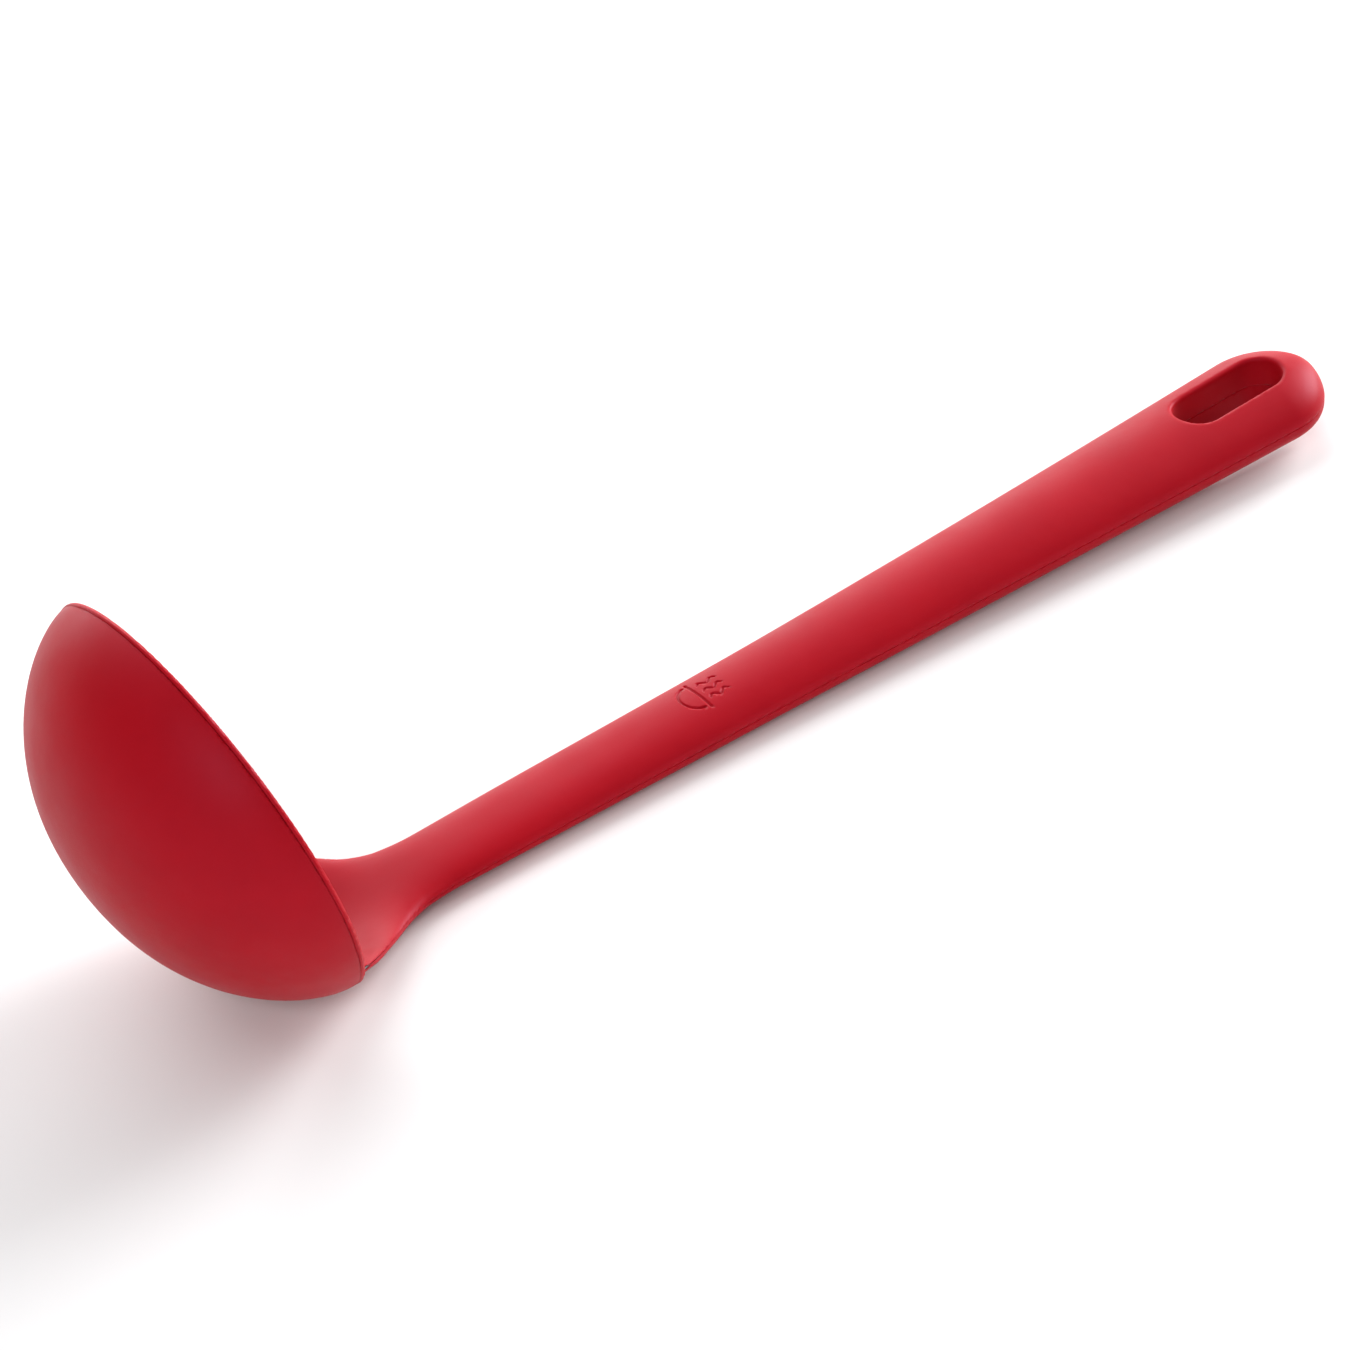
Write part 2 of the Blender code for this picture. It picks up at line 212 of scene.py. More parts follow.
# Camera and lights, in metres, degrees and watts.
CAMERA_PLACE = (-0.45124, -0.74336, 0.62772)
CAMERA_TURN = (54.327, 7.509, -35.685)
CAMERA_LENS = 137.921
CAMERA_NEAREST = 0.05
WORLD_STRENGTH = 0.11
LIGHTS = (
    # name, place, aim, size, power
    ("overhead", (0.0, 0.95, 1.6), (0.0, 0.0, 0.0), (2.6, 1.3), 20.0),
    ("behind", (0.6, 2.2, 0.75), (0.0, 0.0, 0.1), (3.2, 1.4), 50.0),
    ("front_left", (-1.5, -1.3, 1.3), (0.0, 0.0, 0.0), (1.2, 1.2), 27.0),
    ("right", (2.3, 0.2, 0.9), (0.0, 0.0, 0.0), (1.4, 1.4), 100.0),
    ("front_right", (1.3, -1.9, 1.2), (0.0, 0.0, 0.0), (1.2, 1.2), 3.4),
)

# ---------------------------------------------------------------- derived values

AXIS = np.array((math.sin(HANDLE_LEAN), 0.0, math.cos(HANDLE_LEAN)))
FRONT = np.array((-math.cos(HANDLE_LEAN), 0.0, math.sin(HANDLE_LEAN)))
FOOT = np.array((RIM_RADIUS - AXIS_INSIDE_RIM, 0.0, 0.0))
MIDDLE_OF_WALL = RIM_RADIUS - BOWL_WALL / 2


# ---------------------------------------------------------------- shape functions


def smooth_through(points, at):
    """Monotone cubic through (position, value) points, for an array; flat beyond the ends."""
    xs, ys = np.array(points, float).T
    steps = np.diff(xs)
    slopes = np.diff(ys) / steps
    inner = np.zeros(len(xs) - 2)
    same = slopes[:-1] * slopes[1:] > 0
    inner[same] = 2 * slopes[:-1][same] * slopes[1:][same] / (slopes[:-1] + slopes[1:])[same]
    tangents = np.concatenate(([slopes[0]], inner, [slopes[-1]]))
    at = np.clip(at, xs[0], xs[-1])
    i = np.clip(np.searchsorted(xs, at, side="right") - 1, 0, len(steps) - 1)
    t = (at - xs[i]) / steps[i]
    low = (2 * t**3 - 3 * t**2 + 1) * ys[i] + (t**3 - 2 * t**2 + t) * steps[i] * tangents[i]
    high = (3 * t**2 - 2 * t**3) * ys[i + 1] + (t**3 - t**2) * steps[i] * tangents[i + 1]
    return low + high


def ease(low, high, at):
    """Rises smoothly from 0 at low to 1 at high."""
    t = np.clip((at - low) / (high - low), 0.0, 1.0)
    return t * t * (3 - 2 * t)


def sampled(values):
    """A function of the distance along the handle, looked up from evenly spaced samples."""
    xs = np.linspace(SAMPLES_FROM, HANDLE_LENGTH, SAMPLES)
    ys = values(xs)
    return lambda at: np.interp(at, xs, ys)


def outer_curve():
    """Radius and height down the bowl's outside, from well above the rim to its base."""
    turn = np.linspace(0.0, math.pi / 2, CURVE_POINTS)
    radius = RIM_RADIUS * np.cos(turn) ** (2 / BOWL_SIDE_POWER)
    height = -BOWL_DEPTH * np.sin(turn) ** (2 / BOWL_BASE_POWER)
    radius[-1] = 0.0
    return np.concatenate(([RIM_RADIUS], radius)), np.concatenate(([CURVE_TOP], height))


def distance_table():
    """Signed distance to the bowl's outside, positive outside it, for each radius and height."""
    radii, heights = outer_curve()
    start = np.stack((radii[:-1], heights[:-1]), 1)
    step = np.stack((np.diff(radii), np.diff(heights)), 1)
    length = np.maximum((step**2).sum(1), 1e-12)
    table = np.empty((len(TABLE_RADII), len(TABLE_HEIGHTS)))
    for i, radius in enumerate(TABLE_RADII):
        points = np.stack((np.full(len(TABLE_HEIGHTS), abs(radius)), TABLE_HEIGHTS), 1)
        gap = points[:, None, :] - start
        share = np.clip((gap * step).sum(2) / length, 0.0, 1.0)
        away = ((gap - share[..., None] * step) ** 2).sum(2).min(1)
        wall = np.interp(-TABLE_HEIGHTS, -heights, radii)
        inside = (abs(radius) < wall) & (TABLE_HEIGHTS > -BOWL_DEPTH)
        table[i] = np.where(inside, -1, 1) * np.sqrt(away)
    return table


OUTSIDE = distance_table()


def from_bowl(radius, height):
    """The table's distance, read between its rows and columns."""
    i = np.clip((radius - TABLE_RADII[0]) / TABLE_STEP, 0, len(TABLE_RADII) - TABLE_EDGE)
    j = np.clip((height - TABLE_HEIGHTS[0]) / TABLE_STEP, 0, len(TABLE_HEIGHTS) - TABLE_EDGE)
    a = i.astype(int)
    b = j.astype(int)
    i = i - a
    j = j - b
    low = OUTSIDE[a, b] * (1 - j) + OUTSIDE[a, b + 1] * j
    high = OUTSIDE[a + 1, b] * (1 - j) + OUTSIDE[a + 1, b + 1] * j
    return low * (1 - i) + high * i


def wall_offset():
    """How far the middle of the wall at the rim lies in front of the handle's axis."""
    return (MIDDLE_OF_WALL - FOOT[0]) / FRONT[0]


def centre_offset(along):
    """How far a section's middle lies in front of the axis: in the wall at the root, then bowed."""
    share = np.clip(along, 0, None) / HANDLE_LENGTH
    fade = np.clip(1 - np.clip(along, 0, None) / NECK_LENGTH, 0, None) ** 2
    return wall_offset() * fade - 4 * HANDLE_BOW * share * (1 - share)


def bend(along):
    """Curvature across the section: the rim's at the root, and none past the neck."""
    fade = ease(WRAPPED_SHARE * NECK_LENGTH, NECK_LENGTH, along)
    return (1 - fade) / MIDDLE_OF_WALL


half_width = sampled(lambda at: smooth_through(HALF_WIDTHS, at))
front_thickness = sampled(lambda at: smooth_through(FRONT_THICKNESSES, at))
back_thickness = sampled(lambda at: smooth_through(BACK_THICKNESSES, at))
front_power = sampled(lambda at: smooth_through(FRONT_POWERS, at))
back_power = sampled(lambda at: smooth_through(BACK_POWERS, at))
offset_at = sampled(centre_offset)
bend_at = sampled(bend)


def place(along, across, forward):
    """Points of the sections at these distances along the handle."""
    along, across, forward = np.broadcast_arrays(along, across, forward)
    curvature = bend(along)
    curved = curvature > LEAST_BEND
    radius = 1 / np.where(curved, curvature, 1.0)
    turn = across / radius
    side = np.where(curved, (radius - forward) * np.sin(turn), across)
    ahead = np.where(curved, radius - (radius - forward) * np.cos(turn), forward)
    ahead = ahead + centre_offset(along)
    point = FOOT + along[..., None] * AXIS + ahead[..., None] * FRONT
    point[..., 1] += side
    return point


def on_handle(points):
    """Along, across and forward of each point: the reverse of place."""
    near = points - FOOT
    along = near @ AXIS
    ahead = near @ FRONT - offset_at(along)
    curvature = bend_at(along)
    curved = curvature > LEAST_BEND
    radius = 1 / np.where(curved, curvature, 1.0)
    reach = np.hypot(points[:, 1], radius - ahead)
    turn = np.arctan2(points[:, 1], radius - ahead)
    across = np.where(curved, turn * radius, points[:, 1])
    forward = np.where(curved, radius - reach, ahead)
    return along, across, forward


def to_section(along, across, forward):
    """About the signed distance to the handle's superellipse sections and rounded end."""
    front = forward > 0
    power = np.where(front, front_power(along), back_power(along))
    depth = np.where(front, front_thickness(along), back_thickness(along))
    side = np.maximum(np.abs(across), LEAST_SIDE)
    deep = np.maximum(np.abs(forward), LEAST_SIDE)
    past = np.maximum(along - BODY_END, 0.0) / END_ROUND
    left = 1 - past**2
    size = np.abs(left)
    blunt = power / 2 - END_BLUNTNESS * power
    sideways = (side / half_width(along)) ** power
    deepness = (deep / depth) ** power
    blunted = deepness * size**blunt
    level = sideways + blunted - np.sign(left) * size ** (power / 2)
    safe = np.maximum(size, LEAST_LEFT)
    slope = deepness * blunt * safe ** (blunt - 1) * np.sign(left)
    slope = slope - power / 2 * safe ** (power / 2 - 1)
    slope = slope * -2 * past / END_ROUND
    steep = np.sqrt((power * sideways / side) ** 2 + (power * blunted / deep) ** 2 + slope**2)
    return level / np.maximum(steep, LEAST_STEEPNESS)


def to_slot(along, across):
    """Distance from the slot's outline, positive outside the slot."""
    half = (SLOT_LENGTH - SLOT_WIDTH) / 2
    centre = HANDLE_LENGTH - SLOT_CENTRE_FROM_END
    beyond = np.maximum(np.abs(along - centre) - half, 0.0)
    return np.hypot(beyond, across) - SLOT_WIDTH / 2


def smooth_max(a, b, reach):
    """The larger of the two, rounded over where they are within reach of each other."""
    share = np.clip(0.5 + 0.5 * (a - b) / reach, 0.0, 1.0)
    return b + (a - b) * share + reach * share * (1 - share)


def surface(points):
    """Negative in the ladle, positive outside it, and near the surface about the distance to it."""
    along, across, forward = on_handle(points)
    height = points[:, 2]
    in_wall = -from_bowl(np.hypot(points[:, 0], points[:, 1]), height) - BOWL_WALL / 2
    round_by = np.where(in_wall > 0, LIP_INNER_ROUND, LIP_OUTER_ROUND)
    over_lip = height - LIP_TOP + round_by
    past_face = np.abs(in_wall) - BOWL_WALL / 2 + round_by
    bowl = np.hypot(np.maximum(over_lip, 0), np.maximum(past_face, 0))
    bowl = bowl + np.minimum(np.maximum(over_lip, past_face), 0) - round_by
    share = ease(*WALL_TO_NECK, height)
    depth = in_wall * (1 - share) + forward * share
    handle = to_section(along, across, depth) + ROOT_FADE * np.maximum(LIP_TOP - height, 0.0)
    solid = -smooth_max(-bowl, -handle, CORNER_FILLET)
    cut = smooth_max(solid, -to_slot(along, across), SLOT_EDGE_ROUND)
    return np.where(along > BODY_END - SLOT_ZONE, cut, solid)


# ---------------------------------------------------------------- mesh of the surface


def grid_mesh():
    """Points and quads of the surface: a point in each cell of an even grid that it crosses."""
    low = np.array(GRID_LOW)
    counts = np.array(GRID_SPAN) / GRID
    shape = tuple(int(c) for c in counts)
    values = np.full(shape, FAR_OUTSIDE, np.float32)
    axes = [low[k] + GRID * np.arange(shape[k]) for k in range(3)]
    from_axis = np.abs(axes[0][:, None] - FOOT[0] - axes[2][None, :] * AXIS[0] / AXIS[2])
    near_axis = from_axis < HANDLE_ZONE_DEPTH
    near_middle = np.nonzero(np.abs(axes[1]) < HANDLE_ZONE_HALF_WIDTH)[0]
    bowl_top = int((BOWL_ZONE_TOP - low[2]) / GRID)
    for z in range(shape[2]):
        if z < bowl_top:
            xs, ys = np.arange(shape[0]), np.arange(shape[1])
        else:
            xs, ys = np.nonzero(near_axis[:, z])[0], near_middle
        if not len(xs):
            continue
        x, y = np.meshgrid(axes[0][xs], axes[1][ys], indexing="ij")
        points = np.stack((x.ravel(), y.ravel(), np.full(x.size, axes[2][z])), 1)
        values[np.ix_(xs, ys, [z])] = surface(points).reshape(len(xs), len(ys), 1)
    inside = values < 0
    total = np.zeros((np.prod(shape), 3), np.float32)
    hits = np.zeros(np.prod(shape), np.float32)
    faces = []
    for k in range(3):
        one = [slice(None)] * 3
        two = [slice(None)] * 3
        one[k], two[k] = slice(0, -1), slice(1, None)
        crossing = np.argwhere(inside[tuple(one)] != inside[tuple(two)])
        ahead = crossing.copy()
        ahead[:, k] += 1
        first = values[tuple(crossing.T)]
        second = values[tuple(ahead.T)]
        spot = crossing.astype(np.float32)
        spot[:, k] += first / (first - second)
        u, v = (k + 1) % 3, (k + 2) % 3
        corners = []
        for du, dv in ((0, 0), (-1, 0), (-1, -1), (0, -1)):
            cell = crossing.copy()
            cell[:, u] += du
            cell[:, v] += dv
            number = np.ravel_multi_index(tuple(cell.T), shape)
            np.add.at(total, number, spot)
            np.add.at(hits, number, 1)
            corners.append(number)
        quad = np.stack(corners, 1)
        flip = first > 0
        quad[flip] = quad[flip][:, ::-1]
        faces.append(quad)
    faces = np.concatenate(faces)
    used, faces = np.unique(faces, return_inverse=True)
    points = total[used] / hits[used, None] * GRID + low
    return points.astype(float), faces.reshape(-1, 4)


def slope_of(points):
    """How fast surface() rises along x, y and z."""
    slopes = np.empty_like(points)
    for k in range(3):
        move = np.zeros(3)
        move[k] = SLOPE_STEP
        slopes[:, k] = (surface(points + move) - surface(points - move)) / (2 * SLOPE_STEP)
    return slopes


def pull_on(points):
    """One Newton step towards the surface."""
    slopes = slope_of(points)
    shift = surface(points) / np.maximum((slopes**2).sum(1), LEAST_SLOPE)
    move = slopes * shift[:, None]
    length = np.linalg.norm(move, axis=1)
    return points - move * np.minimum(1, MOST_PULL / np.maximum(length, 1e-9))[:, None]


def relaxed(points, faces):
    """Evens the mesh out along the surface."""
    ends = np.concatenate([faces[:, [i, (i + 1) % 4]] for i in range(4)])
    start, end = ends.T
    counts = np.bincount(start, minlength=len(points)).astype(float)
    for _ in range(RELAX_ROUNDS):
        total = np.empty_like(points)
        for k in range(3):
            total[:, k] = np.bincount(start, weights=points[end, k], minlength=len(points))
        points = points + RELAX_SHARE * (total / counts[:, None] - points)
        points = pull_on(points)
    return points


def linked(name, data):
    """A new object in the scene."""
    obj = bpy.data.objects.new(name, data)
    bpy.context.scene.collection.objects.link(obj)
    return obj


def mesh_object(name, points, faces):
    mesh = bpy.data.meshes.new(name)
    mesh.from_pydata(np.asarray(points).tolist(), [], np.asarray(faces).tolist())
    mesh.update()
    return linked(name, mesh)


def model_object(name, model):
    """The bmesh as an object; the bmesh is freed."""
    mesh = bpy.data.meshes.new(name)
    model.to_mesh(mesh)
    model.free()
    return linked(name, mesh)


def loft(name, rings):
    """A closed solid through rings of points, with a flat cap at each end."""
    model = bmesh.new()
    rows = [[model.verts.new(point) for point in ring] for ring in rings]
    count = len(rows[0])
    for low, high in zip(rows, rows[1:]):
        for i in range(count):
            j = (i + 1) % count
            model.faces.new((low[i], low[j], high[j], high[i]))
    for cap in (rows[0], rows[-1]):
        bmesh.ops.triangulate(model, faces=[model.faces.new(cap)])
    bmesh.ops.recalc_face_normals(model, faces=model.faces)
    return model_object(name, model)


def combine(target, other, operation):
    """Adds a Boolean, which applied() carries out."""
    modifier = target.modifiers.new(operation.lower(), "BOOLEAN")
    modifier.operation = operation
    modifier.object = other
    modifier.solver = "MANIFOLD"


def applied(obj):
    """Turns the object's modifiers into its mesh."""
    graph = bpy.context.evaluated_depsgraph_get()
    mesh = bpy.data.meshes.new_from_object(obj.evaluated_get(graph))
    obj.modifiers.clear()
    obj.data = mesh
    mesh.name = obj.name
    return obj


def face_height(along, across):
    """How far the handle's front stands above the plane where the halves meet."""
    power = front_power(along)
    side = (np.abs(across) / half_width(along)) ** power
    return front_thickness(along) * (1 - side) ** (1 / power)


def groove(name, along, across):
    """A round rod along a path on the handle's front, which leaves a shallow groove there."""
    centre = place(along, across, face_height(along, across) + MOTIF_ROD - MOTIF_DEEP)
    ahead = np.gradient(centre, axis=0)
    ahead /= np.linalg.norm(ahead, axis=1)[:, None]
    sideways = np.cross(ahead, FRONT)
    sideways /= np.linalg.norm(sideways, axis=1)[:, None]
    up = np.cross(sideways, ahead)
    turns = np.linspace(0.0, 2 * math.pi, ROD_SIDES, endpoint=False)[:, None, None]
    ring = MOTIF_ROD * (np.cos(turns) * sideways + np.sin(turns) * up)
    rings = (centre + ring).transpose(1, 0, 2)
    head = centre[0] + ROD_TIP * (rings[0] - centre[0]) - ahead[0] * MOTIF_ROD
    tail = centre[-1] + ROD_TIP * (rings[-1] - centre[-1]) + ahead[-1] * MOTIF_ROD
    return loft(name, [r.tolist() for r in (head, *rings, tail)])


def motif_grooves():
    """A small steaming bowl: an arc, its rim and three wavy lines above it."""
    turn = np.linspace(0.0, math.pi, CURVED_POINTS)
    low = MOTIF_AT - MOTIF_BOWL_TOP - MOTIF_BOWL_DEPTH * np.sin(turn)
    paths = [(low, MOTIF_BOWL_HALF * np.cos(turn))]
    rim = np.full(STRAIGHT_POINTS, MOTIF_AT - MOTIF_RIM_AT)
    paths.append((rim, np.linspace(-MOTIF_RIM_HALF, MOTIF_RIM_HALF, STRAIGHT_POINTS)))
    rise = np.linspace(0.0, 1.0, CURVED_POINTS)
    wave = STEAM_WAVE * np.sin(rise * STEAM_HALF_WAVES * math.pi)
    for side in STEAM_PLACES:
        paths.append((MOTIF_AT + STEAM_FROM + STEAM_LENGTH * rise, side + wave))
    return [groove(f"groove_{i}", *path) for i, path in enumerate(paths)]


def middle_of_wall():
    """Radius and height of points down the middle of the bowl's wall, from the rim's plane."""
    wall = []
    for share in np.linspace(0.0, 1.0, CUTTER_CURVE):
        turn = share * math.pi / 2
        radius = RIM_RADIUS * math.cos(turn) ** (2 / BOWL_SIDE_POWER)
        height = -BOWL_DEPTH * math.sin(turn) ** (2 / BOWL_BASE_POWER)
        wall.append((radius, height))
    wall = np.array(wall)
    wall[-1, 0] = 0.0
    tangent = np.gradient(wall, axis=0)
    normal = np.stack((-tangent[:, 1], tangent[:, 0]), 1)
    normal /= np.linalg.norm(normal, axis=1)[:, None]
    normal[0] = (1.0, 0.0)
    normal[-1] = (0.0, -1.0)
    return wall - normal * (BOWL_WALL / 2)


def behind_bowl(clearance):
    """The split's solid at the bowl: outside the middle of its wall, and under the line there."""
    top = -SPLIT_UNDER_RIM + clearance
    middle = middle_of_wall()
    top_radius = np.interp(-top, -middle[:, 1], middle[:, 0])
    middle = middle[middle[:, 1] < top - CUTTER_FIRST_DROP]
    profile = [(top_radius, top)] + [tuple(p) for p in middle]
    profile[-1] = (0.0, profile[-1][1])
    far, low = RIM_RADIUS + CUTTER_REACH, -BOWL_DEPTH - CUTTER_REACH
    outline = profile[::-1] + [(far, top), (far, low), (0.0, low)]
    model = bmesh.new()
    chain = [model.verts.new((radius, 0.0, height)) for radius, height in outline]
    for a, b in zip(chain, chain[1:]):
        model.edges.new((a, b))
    bmesh.ops.spin(
        model,
        geom=model.verts[:] + model.edges[:],
        cent=(0, 0, 0),
        axis=(0, 0, 1),
        angle=2 * math.pi,
        steps=CUTTER_TURNS,
        use_merge=True,
    )
    bmesh.ops.remove_doubles(model, verts=model.verts, dist=1e-4)
    bmesh.ops.recalc_face_normals(model, faces=model.faces)
    return model_object("behind_bowl", model)


def behind_handle(clearance):
    """The split's solid at the neck and handle: behind the surface where the halves meet."""
    neck = np.linspace(CUTTER_FROM, NECK_LENGTH, CUTTER_NECK_RINGS)
    past_neck, past_end = NECK_LENGTH + CUTTER_PAST_NECK, HANDLE_LENGTH + CUTTER_PAST_END
    rings = []
    for along in np.concatenate((neck, np.linspace(past_neck, past_end, CUTTER_HANDLE_RINGS))):
        edge = half_width(along) + CUTTER_BESIDE
        sides = np.linspace(-edge, edge, CUTTER_ACROSS)
        near = place(along, sides, clearance)
        far = place(along, sides[::-1], CUTTER_BEHIND)
        rings.append(np.concatenate((near, far)).tolist())
    return loft("behind_handle", rings)


def behind_split(clearance):
    """All that lies behind the line where the halves meet, moved forward by the clearance."""
    around = behind_bowl(clearance)
    handle = behind_handle(clearance)
    combine(around, handle, "UNION")
    applied(around)
    bpy.data.objects.remove(handle)
    return around


def lying_matrix(points):
    """Turns upright millimetres into the row frame: on its back, on the floor, centred as the CAD."""
    turn = Matrix.Rotation(LYING_TURN, 4, "Y")
    spun = points @ np.array(turn.to_3x3()).T * MM
    low, high = cad_box
    middle = (spun[:, 0].min() + spun[:, 0].max()) / 2
    shift = ((low.x + high.x) / 2 - middle, 0.0, -spun[:, 2].min())
    return Matrix.Translation(shift) @ turn @ Matrix.Scale(MM, 4)


def core_space(lying):
    """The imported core, a little larger all round, in the upright frame and millimetres."""
    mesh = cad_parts["nylon_core"].data.copy()
    model = bmesh.new()
    model.from_mesh(mesh)
    bmesh.ops.remove_doubles(model, verts=model.verts, dist=CORE_WELD)
    bmesh.ops.transform(model, matrix=lying.inverted(), verts=model.verts)
    model.normal_update()
    shells = [min(v.calc_shell_factor(), MOST_SHELL_FACTOR) for v in model.verts]
    moves = [v.normal * shell * CORE_CLEARANCE for v, shell in zip(model.verts, shells)]
    for vert, move in zip(model.verts, moves):
        vert.co += move
    model.to_mesh(mesh)
    model.free()
    return linked("core_space", mesh)


def lowered(points):
    """The points with the surface let in beside the line where the halves meet."""
    slopes = slope_of(points)
    slopes /= np.linalg.norm(slopes, axis=1)[:, None]
    height = points[:, 2]
    on_bowl = height < SPLIT_ON_BOWL_BELOW
    forward = on_handle(points)[2]
    from_split = np.where(on_bowl, -SPLIT_UNDER_RIM - height, -forward)
    step = BACK_STEP * np.exp(-np.abs(from_split) / STEP_FADE)
    in_bowl = from_bowl(np.hypot(points[:, 0], points[:, 1]), height) < -BOWL_WALL / 2
    step = step * np.where(on_bowl & in_bowl, 0, 1)
    return points - slopes * step[:, None]


points, faces = grid_mesh()
points = pull_on(pull_on(points))
points = relaxed(points, faces)
points = pull_on(pull_on(points))
lying = lying_matrix(points)

front_piece = mesh_object("front_silicone", points, faces)
back_piece = mesh_object("back_silicone", lowered(points), faces)
core = core_space(lying)
behind = behind_split(SPLIT_GAP / 2)
combine(front_piece, behind, "DIFFERENCE")
combine(front_piece, core, "DIFFERENCE")
grooves = motif_grooves()
for rod in grooves:
    combine(front_piece, rod, "DIFFERENCE")
applied(front_piece)
for rod in grooves:
    bpy.data.objects.remove(rod)
bpy.data.objects.remove(behind)
behind = behind_split(-SPLIT_GAP / 2)
combine(back_piece, behind, "INTERSECT")
combine(back_piece, core, "DIFFERENCE")
applied(back_piece)
bpy.data.objects.remove(behind)
bpy.data.objects.remove(core)

for piece in (front_piece, back_piece):
    piece.data.transform(lying)
    piece.data.shade_smooth()
    piece.data.set_sharp_from_angle(angle=SHARP_ANGLE)


# ---------------------------------------------------------------- materials


class Nodes:
    """Short calls for building a material's nodes."""

    def __init__(self, name):
        self.material = bpy.data.materials.new(name)
        self.material.use_nodes = True
        self.tree = self.material.node_tree
        self.shader = self.tree.nodes["Principled BSDF"]
        self.place = self.add("ShaderNodeTexCoord").outputs["Object"]

    def add(self, kind, **settings):
        node = self.tree.nodes.new(kind)
        for key, value in settings.items():
            setattr(node, key, value)
        return node

    def join(self, output, socket):
        self.tree.links.new(output, socket)

    def noise(self, scale, detail=2.0, roughness=0.5):
        node = self.add("ShaderNodeTexNoise")
        node.inputs["Scale"].default_value = scale
        node.inputs["Detail"].default_value = detail
        node.inputs["Roughness"].default_value = roughness
        self.join(self.place, node.inputs["Vector"])
        return node.outputs["Fac"]

    def ranged(self, value, low, high):
        """A noise value spread from low to high."""
        node = self.add("ShaderNodeMapRange")
        numbers = {"From Min": NOISE_LOW, "From Max": NOISE_HIGH, "To Min": low, "To Max": high}
        for socket, number in numbers.items():
            node.inputs[socket].default_value = number
        self.join(value, node.inputs["Value"])
        return node.outputs["Result"]

    def ramp(self, value, colours):
        """A noise value turned into a colour between the two."""
        node = self.add("ShaderNodeValToRGB")
        for element, position, colour in zip(
            node.color_ramp.elements, (NOISE_LOW, NOISE_HIGH), colours
        ):
            element.position = position
            element.color = (*colour, 1.0)
        self.join(value, node.inputs["Fac"])
        return node.outputs["Color"]

    def bump(self, heights):
        """Chains bumps of (height output, distance, strength) into the shader's normal."""
        last = None
        for height, distance, strength in heights:
            node = self.add("ShaderNodeBump")
            node.inputs["Distance"].default_value = distance
            node.inputs["Strength"].default_value = strength
            self.join(height, node.inputs["Height"])
            if last:
                self.join(last, node.inputs["Normal"])
            last = node.outputs["Normal"]
        self.join(last, self.shader.inputs["Normal"])


def silicone_material():
    made = Nodes("red_silicone")
    tint = made.noise(38.0, 4.0, 0.6)
    red = made.ramp(tint, SILICONE_REDS)
    made.join(red, made.shader.inputs["Base Color"])
    rough = made.ranged(made.noise(90.0, 5.0, 0.6), *SILICONE_ROUGHNESS)
    made.join(rough, made.shader.inputs["Roughness"])
    made.bump(
        (
            (made.noise(220.0, 2.0), 0.0004, 0.12),
            (made.noise(5200.0, 3.0, 0.6), 0.00006, 0.35),
        )
    )
    inputs = made.shader.inputs
    inputs["IOR"].default_value = 1.41
    inputs["Specular IOR Level"].default_value = 0.17
    inputs["Subsurface Weight"].default_value = 0.25
    inputs["Subsurface Radius"].default_value = (1.0, 0.12, 0.1)
    inputs["Subsurface Scale"].default_value = 0.002
    inputs["Specular Tint"].default_value = (0.9, 0.6, 1.0, 1.0)
    inputs["Sheen Weight"].default_value = 0.0125
    inputs["Sheen Roughness"].default_value = 0.35
    inputs["Sheen Tint"].default_value = (1.0, 0.82, 0.88, 1.0)
    return made.material


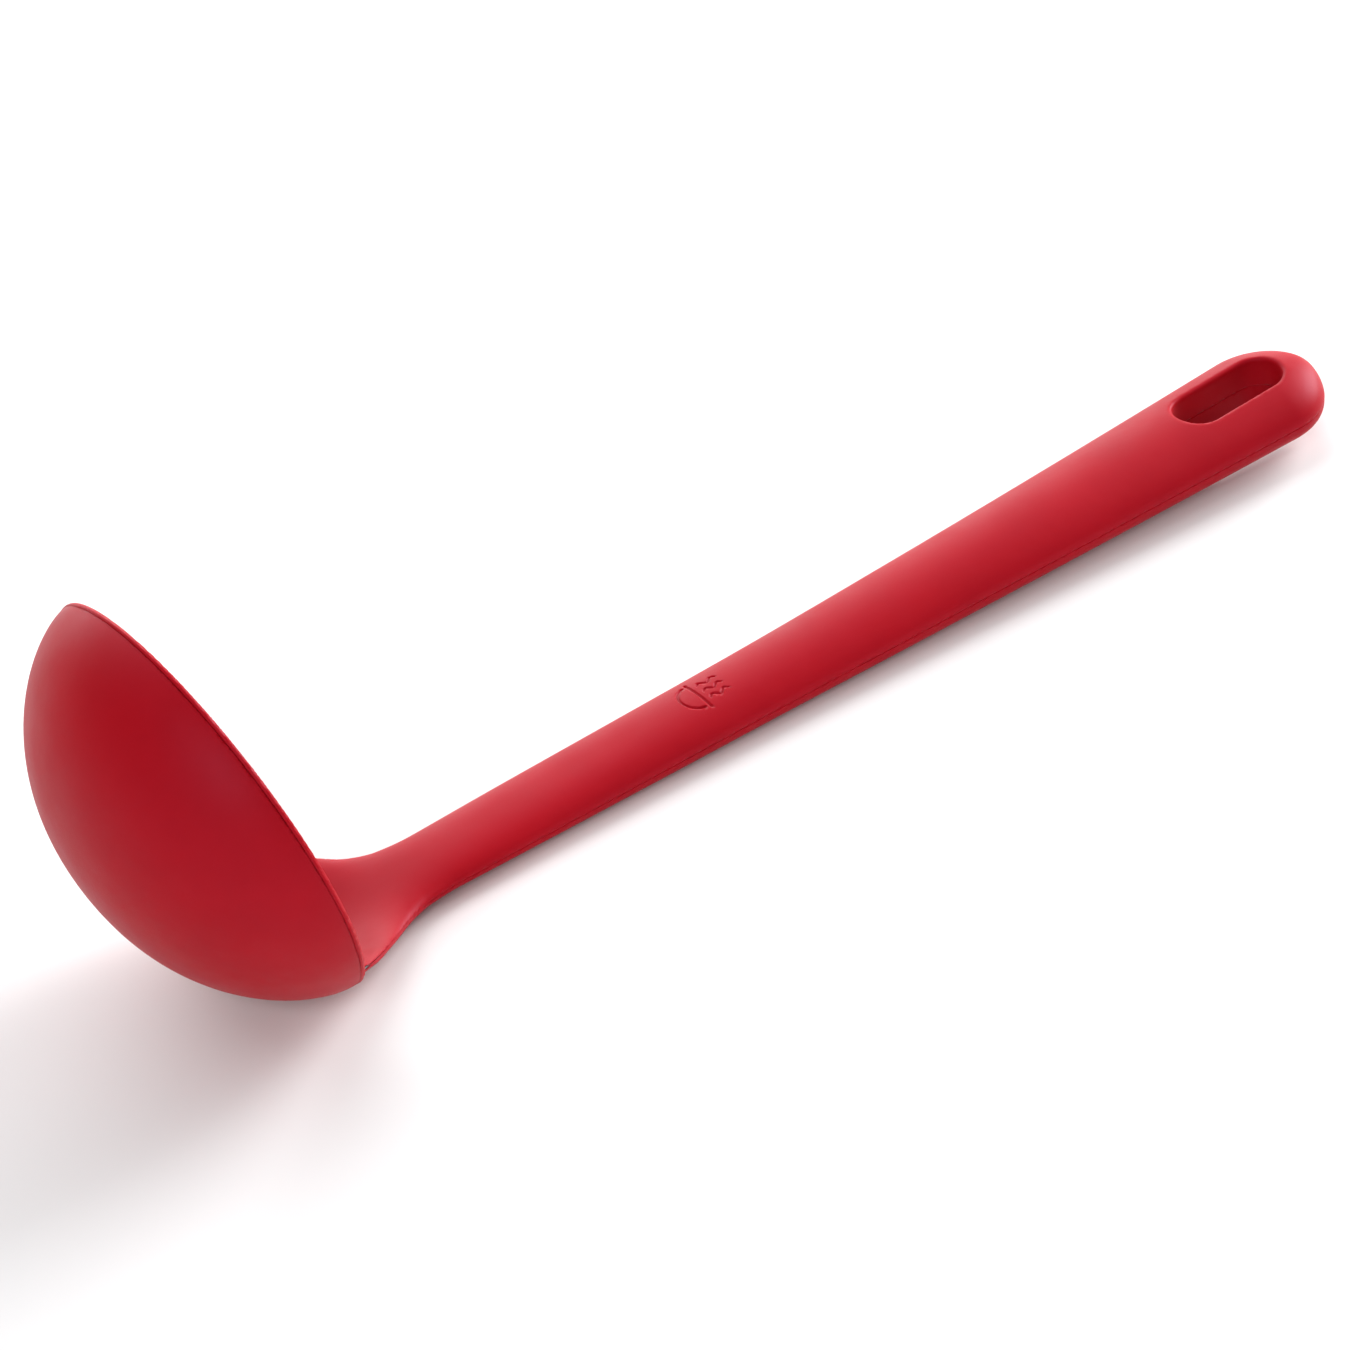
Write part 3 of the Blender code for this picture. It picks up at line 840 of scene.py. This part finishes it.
def nylon_material():
    made = Nodes("glass_filled_nylon")
    grey = made.ramp(made.noise(60.0, 5.0, 0.6), NYLON_GREYS)
    made.join(grey, made.shader.inputs["Base Color"])
    rough = made.ranged(made.noise(300.0, 3.0), *NYLON_ROUGHNESS)
    made.join(rough, made.shader.inputs["Roughness"])
    made.bump(((made.noise(1800.0, 4.0, 0.7), 0.0001, 0.4),))
    made.shader.inputs["IOR"].default_value = 1.53
    return made.material


red_silicone = silicone_material()
for piece, node in ((front_piece, "silicone_front"), (back_piece, "silicone_back")):
    piece.data.materials.clear()
    piece.data.materials.append(red_silicone)
    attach(piece, "root")
    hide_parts(node)
core_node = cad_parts["nylon_core"]
core_node.data.materials.clear()
core_node.data.materials.append(nylon_material())

# ---------------------------------------------------------------- floor, light and camera


def floor_material():
    made = Nodes("pale_floor")
    pale = made.ramp(made.noise(3.0, 2.0), FLOOR_TONES)
    made.join(pale, made.shader.inputs["Base Color"])
    made.shader.inputs["Roughness"].default_value = 0.9
    made.shader.inputs["Specular IOR Level"].default_value = 0.2
    return made.material


def add_floor():
    signs = ((-1, -1), (1, -1), (1, 1), (-1, 1))
    corners = [(x * FLOOR_HALF, y * FLOOR_HALF, 0.0) for x, y in signs]
    floor = mesh_object("floor", corners, [(0, 1, 2, 3)])
    floor.data.materials.append(floor_material())


def add_light(name, place, aim, size, power):
    data = bpy.data.lights.new(name, "AREA")
    data.shape = "RECTANGLE"
    data.size, data.size_y = size
    data.energy = power
    light = linked(name, data)
    light.location = place
    light.rotation_euler = (Vector(aim) - Vector(place)).to_track_quat("-Z", "Y").to_euler()


def add_lights():
    world = bpy.data.worlds.new("studio")
    world.use_nodes = True
    background = world.node_tree.nodes["Background"]
    background.inputs["Color"].default_value = (1.0, 1.0, 1.0, 1.0)
    background.inputs["Strength"].default_value = WORLD_STRENGTH
    bpy.context.scene.world = world
    for light in LIGHTS:
        add_light(*light)


def add_camera():
    data = bpy.data.cameras.new("camera")
    data.lens = CAMERA_LENS
    data.clip_start = CAMERA_NEAREST
    camera = linked("camera", data)
    camera.location = CAMERA_PLACE
    camera.rotation_euler = [math.radians(angle) for angle in CAMERA_TURN]
    bpy.context.scene.camera = camera


add_floor()
add_lights()
add_camera()
bpy.context.scene.view_settings.view_transform = "Standard"
